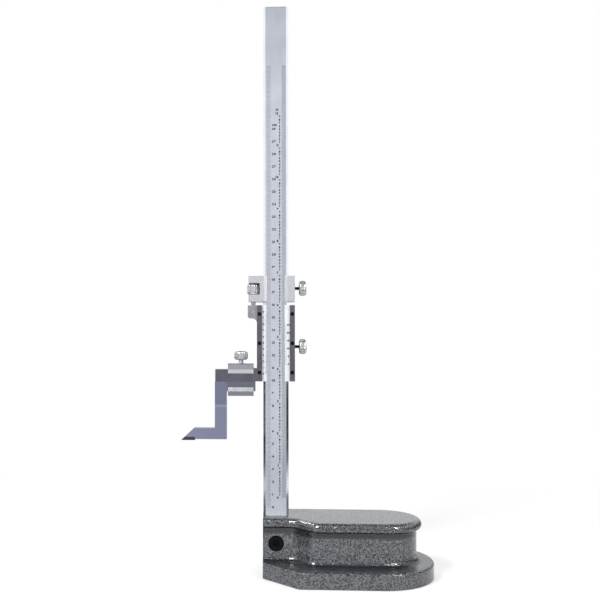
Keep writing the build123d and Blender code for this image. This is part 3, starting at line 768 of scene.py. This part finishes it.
def knob_profile(threads, radius, height, bore):
    """A knob with rounded ends, a blind bore below and a dish above, from pole to pole."""
    bend = threads.knob_round
    lower = arc(radius - bend, bend, bend, -90, 0)
    upper = arc(radius - bend, height - bend, bend, 0, 90)
    rim = radius - threads.dish_rim - bend / 2
    floor = height - threads.dish_depth
    inside = [(0.0, threads.grip), (bore, threads.grip), (bore, 0.0)]
    dish = [(rim + threads.dish_depth * 0.5, height), (rim, floor + threads.dish_depth * 0.3),
            (rim - threads.dish_depth * 0.6, floor), (0.0, floor)]
    return inside + lower + straight(lower[-1], upper[0], 5) + upper + dish


def nut_profile(threads, radius, height, bore):
    """A round nut with rounded ends and a through bore, as a closed loop."""
    bend = threads.knob_round
    lower = arc(radius - bend, bend, bend, -90, 0)
    upper = arc(radius - bend, height - bend, bend, 0, 90)
    return [(bore, 0.0)] + lower + straight(lower[-1], upper[0], 8) + upper + [(bore, height)]


def fluted_mesh(name, profile, radius, threads, place):
    """Turns a profile round its axis, cuts flutes along it and notes in "groove" how deep they go, weighted
    towards the knob's ends for the painted shade in the flutes.
    """
    segments = 16  # sides of the knob for each flute
    half_width = 0.28  # of a flute, as a share of the way to the next
    count = threads.flutes * segments
    shape = bmesh.new()
    groove = shape.verts.layers.float.new("groove")
    rings = []
    tall = max(height for reach, height in profile)
    for reach, height in profile:
        ring = []
        for step in range(count if reach else 1):
            angle = 2 * math.pi * step / count
            across = (step % segments) / segments - 0.5
            cut = max(0.0, 1 - (across / half_width) ** 2) * threads.flute_depth
            kept = min(reach, radius - cut)
            vert = shape.verts.new((kept * math.cos(angle), kept * math.sin(angle), height))
            # weights the flute depth towards the knob's ends, where the painted shade in the flutes is
            # darkest
            near_end = 0.3 + 0.7 * abs(2 * height / tall - 1) ** 2
            vert[groove] = (reach - kept) / threads.flute_depth * near_end
            ring.append(vert)
        rings.append(ring)
    pairs = list(zip(rings, rings[1:]))
    if profile[0][0]:
        pairs.append((rings[-1], rings[0]))
    for low, high in pairs:
        for step in range(count):
            after = (step + 1) % count
            stops = ((low, step), (low, after), (high, after), (high, step))
            corners = [ring[i % len(ring)] for ring, i in stops]
            shape.faces.new(list(dict.fromkeys(corners)))
    bmesh.ops.recalc_face_normals(shape, faces=shape.faces)
    for face in shape.faces:
        face.smooth = True
    shape.transform(place)
    mesh = bpy.data.meshes.new(name)
    shape.to_mesh(mesh)
    shape.free()
    mesh.materials.append(finish_named("knob_finish"))
    return mesh


def extent(node, axis):
    """Thickness of a round node, its length along an axis, and the point where it starts."""
    low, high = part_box(node)
    size = high - low
    middle = (low + high) / 2
    if axis == SIDEWAYS:
        return size.y, size.x, (low.x, middle.y, middle.z)
    return size.y, size.z, (middle.x, middle.y, low.z)


def standing(axis, start):
    """Where a shape that is built up +Z goes: along an axis, from a start point."""
    turn = Vector(UPRIGHT).rotation_difference(Vector(axis)).to_matrix().to_4x4()
    return Matrix.Translation(start) @ turn


def thread_mesh(name, diameter, long, pitch, share, finish, place):
    """A threaded rod: a ridge that winds round a core."""
    sizes = {"Diameter": diameter, "Length": long, "Pitch": pitch, "Depth": pitch * share}
    tree = Pattern(name, sizes, finish_named(finish))
    depth = tree["Depth"]
    core_radius = tree["Diameter"] * 0.5 - depth
    run = tree["Length"] - depth * 2
    spiral = tree.node(
        "GeometryNodeCurveSpiral", None,
        {"Resolution": 28, "Rotations": run / tree["Pitch"], "Start Radius": core_radius,
         "End Radius": core_radius, "Height": run},
    )
    spiral = tree.node(
        "GeometryNodeSetPosition", None, {"Geometry": spiral, "Offset": tree.vector(0.0, 0.0, depth)}
    )
    ridge = tree.node("GeometryNodeCurvePrimitiveCircle", None, {"Resolution": 6, "Radius": depth}, "Curve")
    winding = tree.node(
        "GeometryNodeCurveToMesh", None, {"Curve": spiral, "Profile Curve": ridge, "Fill Caps": True}
    )
    core = tree.node(
        "GeometryNodeMeshCylinder", None,
        {"Vertices": 40, "Radius": core_radius, "Depth": tree["Length"]}, "Mesh",
    )
    core = tree.node(
        "GeometryNodeSetPosition", None,
        {"Geometry": core, "Offset": tree.vector(0.0, 0.0, tree["Length"] * 0.5)},
    )
    both = tree.node("GeometryNodeJoinGeometry", None, {0: [winding, core]})
    mesh = tree.mesh(name, both)
    mesh.transform(place)
    return mesh


class GAUGE_OT_knobs(bpy.types.Operator):
    """Make the fluted knobs and the fine adjustment nut"""

    bl_idname = "gauge.knobs"
    bl_label = "Knobs"

    def execute(self, context):
        threads = context.scene.gauge_threads
        for node, name, body, axis, stem, profile in (
            ("slider_lock_knob", "slider_lock_knob_fluted", "slider_knob", SIDEWAYS,
             "slider_lock_stem", knob_profile),
            ("carrier_lock_knob", "carrier_lock_knob_fluted", "carrier_knob", SIDEWAYS,
             "carrier_lock_stem", knob_profile),
            ("clamp_screw_knob", "clamp_screw_knob_fluted", "clamp_knob", UPRIGHT,
             "clamp_screw_stem", knob_profile),
            ("fine_adjust_nut", "fine_nut_fluted", "fine_nut", UPRIGHT,
             "fine_adjust_screw", nut_profile),
        ):
            thick, long, start = extent(node, axis)
            bore = extent(stem, axis)[0] / 2 + threads.bore_play
            outline = profile(threads, thick / 2, long, bore)
            mesh = fluted_mesh(name, outline, thick / 2, threads, standing(axis, start))
            piece(name, mesh, body, (node,))
        return {"FINISHED"}


class GAUGE_OT_threads(bpy.types.Operator):
    """Cut the threads of the screws that show"""

    bl_idname = "gauge.threads"
    bl_label = "Threads"

    def execute(self, context):
        threads = context.scene.gauge_threads
        bright, black = ("screw_finish", "bright_steel"), ("black_finish", "black_oxide")
        for node, body, axis, pitch, (finish, slot) in (
            ("fine_adjust_screw", "slider", UPRIGHT, threads.fine_pitch, bright),
            ("slider_lock_stem", "slider_lock_screw", SIDEWAYS, threads.lock_pitch, black),
            ("carrier_lock_stem", "carrier_lock_screw", SIDEWAYS, threads.lock_pitch, black),
            ("clamp_screw_stem", "clamp_screw", UPRIGHT, threads.fine_pitch, bright),
        ):
            thick, long, start = extent(node, axis)
            name = node + "_thread"
            place = standing(axis, start)
            mesh = thread_mesh(name, thick, long, pitch, threads.thread_share, finish, place)
            piece(name, mesh, body, (node,))
        return {"FINISHED"}


# ---------------------------------------------------------------- carried-over pieces

class GAUGE_OT_casting(bpy.types.Operator):
    """Paint the base casting"""

    bl_idname = "gauge.casting"
    bl_label = "Base casting"

    def execute(self, context):
        dress("paint_finish", "base_casting")
        return {"FINISHED"}


class GAUGE_OT_metal(bpy.types.Operator):
    """Give the column, the slider, the carrier and the scriber their metal finishes"""

    bl_idname = "gauge.metal"
    bl_label = "Metal finishes"

    def execute(self, context):
        dress("column_finish", "column")
        dress("slider_finish", "slider_rear_channel", "slider_gib", "carrier_gib")
        dress("strip_finish", "slider_jaw_frame", "slider_right_strip")
        dress("plate_finish", "vernier_plate_mm", "vernier_plate_inch")
        dress("carrier_finish", "carrier_left_block", "carrier_right_block", "carrier_rear_plate")
        dress("clamp_finish", "scriber_clamp_frame", "clamp_pressure_pad")
        dress("scriber_finish", "scriber")
        dress("carbide_finish", "carbide_tip")
        dress("screw_finish", "fine_screw_pin", "carrier_plate_screws")
        dress("black_finish", "slider_strip_screws", "slider_gib_screws")
        dress("black_finish", "column_clamp_screw", "column_foot_screws")
        return {"FINISHED"}


# ---------------------------------------------------------------- stage

def studio_plane(name, corners, material, glossy_only=False):
    """A flat card of the studio."""
    mesh = bpy.data.meshes.new(name)
    mesh.from_pydata(corners, [], [(0, 1, 2, 3)])
    mesh.materials.append(material)
    card = bpy.data.objects.new(name, mesh)
    bpy.context.scene.collection.objects.link(card)
    if glossy_only:
        card.visible_camera = False
        card.visible_diffuse = False
        card.visible_shadow = False
        card.visible_transmission = False


def lamp(name, place, target, size, power):
    """A square softbox that faces a point and stays out of reflections."""
    light = bpy.data.lights.new(name, "AREA")
    light.size = size
    light.energy = power
    made = bpy.data.objects.new(name, light)
    made.location = place
    made.rotation_euler = (Vector(target) - Vector(place)).to_track_quat("-Z", "Y").to_euler()
    made.visible_glossy = False
    bpy.context.scene.collection.objects.link(made)


def level(height, left, right, front, back):
    """Corners of a card that lies flat."""
    return [(left, front, height), (right, front, height), (right, back, height), (left, back, height)]


def across(y, half, low, high):
    """Corners of a card that stands across the view."""
    return [(-half, y, low), (half, y, low), (half, y, high), (-half, y, high)]


def along(x, front, back, high):
    """Corners of a card that stands on the floor beside the object."""
    return [(x, front, 0.0), (x, back, 0.0), (x, back, high), (x, front, high)]


def facing(place, size):
    """Corners of a square card that faces the object."""
    target = Vector((0.02, 0.0, 0.15))
    turn = (target - Vector(place)).to_track_quat("-Z", "Y")
    half = size / 2
    return [Vector(place) + turn @ Vector(corner) for corner in level(0.0, -half, half, -half, half)]


def seen_rays(nodes):
    """1 where a camera, glossy or transmission ray looks, 0 for light that falls on things."""
    rays = nodes.node("ShaderNodeLightPath", output="Is Camera Ray")
    glossy = nodes.node("ShaderNodeLightPath", output="Is Glossy Ray")
    through = nodes.node("ShaderNodeLightPath", output="Is Transmission Ray")
    return rays.math("MAXIMUM", rays.math("MAXIMUM", rays, glossy), through)


class GAUGE_OT_stage(bpy.types.Operator):
    """Set up the floor, the studio light and the camera"""

    bl_idname = "gauge.stage"
    bl_label = "Stage"

    def execute(self, context):
        stage = context.scene.gauge_stage
        self.light_world(context.scene, stage)
        self.lay_floor()
        self.hang_cards()
        target = (0.02, 0.0, 0.2)
        for name, place, size, power in (
            ("key_softbox", (-0.75, -0.95, 1.15), 0.3, 18.0),
            ("side_softbox", (0.85, -1.1, 0.95), 0.3, 6.2),
            ("top_softbox", (0.1, 0.35, 1.5), 0.7, 9.0),
        ):
            lamp(name, place, target, size, power)
        self.place_camera(context.scene, stage)
        return {"FINISHED"}

    def light_world(self, scene, stage):
        world = bpy.data.worlds.new("studio")
        nodes = Nodes(emptied(world))
        strength = stage.fill + seen_rays(nodes) * (1 - stage.fill)
        sky = nodes.node("ShaderNodeBackground", None, {"Color": WHITE, "Strength": strength})
        nodes.end("ShaderNodeOutputWorld", sky)
        scene.world = world

    def lay_floor(self):
        finish = Finish("studio_floor", {"Roughness": 0.9, "Specular IOR Level": 0.0})
        dim, pale = (0.16, 0.16, 0.16, 1), (0.94, 0.94, 0.94, 1)
        finish.set({"Base Color": finish.blend(dim, pale, seen_rays(finish))})
        away = finish.node("ShaderNodeVectorMath", {"operation": "LENGTH"}, {0: finish.place}, "Value")
        fade_start, fade_end = 0.12, 0.55
        far = finish.ramp(away, fade_start, fade_end)
        white = finish.node("ShaderNodeEmission", None, {"Color": WHITE, "Strength": 1.0})
        shader = Wire(finish, finish.shader.outputs["BSDF"])
        share = (0.5 + far * 0.5) * seen_rays(finish)
        mixed = finish.node("ShaderNodeMixShader", None, {0: share, 1: shader, 2: white})
        finish.tree.links.new(mixed.socket, finish.output.inputs["Surface"])
        half = 4.0
        studio_plane("floor", level(0.0, -half, half, -half, half), finish.material)

    def hang_cards(self):
        """Cards that only reflections see: dark and grey for metal and paint, two bright ones for gloss."""
        cool = (0.955, 0.985, 1.05, 1.0)
        on_floor = 0.002
        for name, tint, tone, corners in (
            ("left_card", WHITE, 0.02, along(-0.46, -0.12, 1.4, 0.15)),
            ("right_card", WHITE, 0.02, along(0.52, -0.3, 1.4, 0.15)),
            ("front_card", cool, 0.67, across(-0.7, 0.6, 0.0, 0.65)),
            ("upper_card", cool, 0.5, across(-0.7, 0.6, 0.65, 1.0)),
            ("foot_card", cool, 0.55, level(on_floor, -0.08, 0.08, -0.7, -0.18)),
            ("side_foot_card", WHITE, 0.06, level(on_floor, -0.34, -0.07, -0.1, 0.1)),
            ("back_card", cool, 0.8, across(0.8, 0.6, 0.0, 0.08)),
            ("back_foot_card", cool, 0.6, level(on_floor, -0.5, 0.5, 0.16, 0.8)),
            ("roof_card", WHITE, 0.03, level(1.7, -1.4, 1.4, -0.6, 1.3)),
            ("key_card", WHITE, 40.0, facing((-0.55, -0.69, 0.93), 0.38)),
            ("side_card", WHITE, 90.0, facing((0.6, -0.76, 0.8), 0.24)),
        ):
            material = bpy.data.materials.new(name)
            nodes = Nodes(emptied(material))
            glow = nodes.node("ShaderNodeEmission", None, {"Color": tint, "Strength": tone})
            nodes.end("ShaderNodeOutputMaterial", glow)
            studio_plane(name, corners, material, glossy_only=True)

    def place_camera(self, scene, stage):
        data = bpy.data.cameras.new("camera")
        data.sensor_width = 36.0
        data.lens = stage.focal_length
        data.shift_x, data.shift_y = stage.shift
        camera = bpy.data.objects.new("camera", data)
        camera.location = stage.camera_place
        camera.rotation_euler = (math.radians(90) + stage.camera_tilt, 0.0, stage.camera_turn)
        scene.collection.objects.link(camera)
        scene.camera = camera
        scene.view_settings.view_transform = "Standard"


# ---------------------------------------------------------------- add-on

OPERATORS = (
    GAUGE_OT_casting,
    GAUGE_OT_metal,
    GAUGE_OT_column_scale,
    GAUGE_OT_vernier_scales,
    GAUGE_OT_knobs,
    GAUGE_OT_threads,
    GAUGE_OT_stage,
)


class GAUGE_PT_panel(bpy.types.Panel):
    """Sizes, colours and steps of the gauge"""

    bl_label = "Vernier height gauge"
    bl_space_type = "VIEW_3D"
    bl_region_type = "UI"
    bl_category = "Gauge"

    def draw(self, context):
        for operator in OPERATORS:
            self.layout.operator(operator.bl_idname)
        for group in GROUPS:
            box = self.layout.box()
            settings = getattr(context.scene, group)
            for name in GROUPS[group].__annotations__:
                box.prop(settings, name)


GROUPS = {
    "gauge_look": GaugeLook,
    "gauge_scales": GaugeScales,
    "gauge_threads": GaugeThreads,
    "gauge_stage": GaugeStage,
}


def register():
    for group, settings in GROUPS.items():
        bpy.utils.register_class(settings)
        setattr(bpy.types.Scene, group, bpy.props.PointerProperty(type=settings))
    for operator in OPERATORS:
        bpy.utils.register_class(operator)
    bpy.utils.register_class(GAUGE_PT_panel)


def unregister():
    bpy.utils.unregister_class(GAUGE_PT_panel)
    for operator in reversed(OPERATORS):
        bpy.utils.unregister_class(operator)
    for group, settings in reversed(GROUPS.items()):
        delattr(bpy.types.Scene, group)
        bpy.utils.unregister_class(settings)


def main():
    register()
    for operator in OPERATORS:
        family, step = operator.bl_idname.split(".")
        getattr(getattr(bpy.ops, family), step)()


if __name__ == "__main__":
    main()
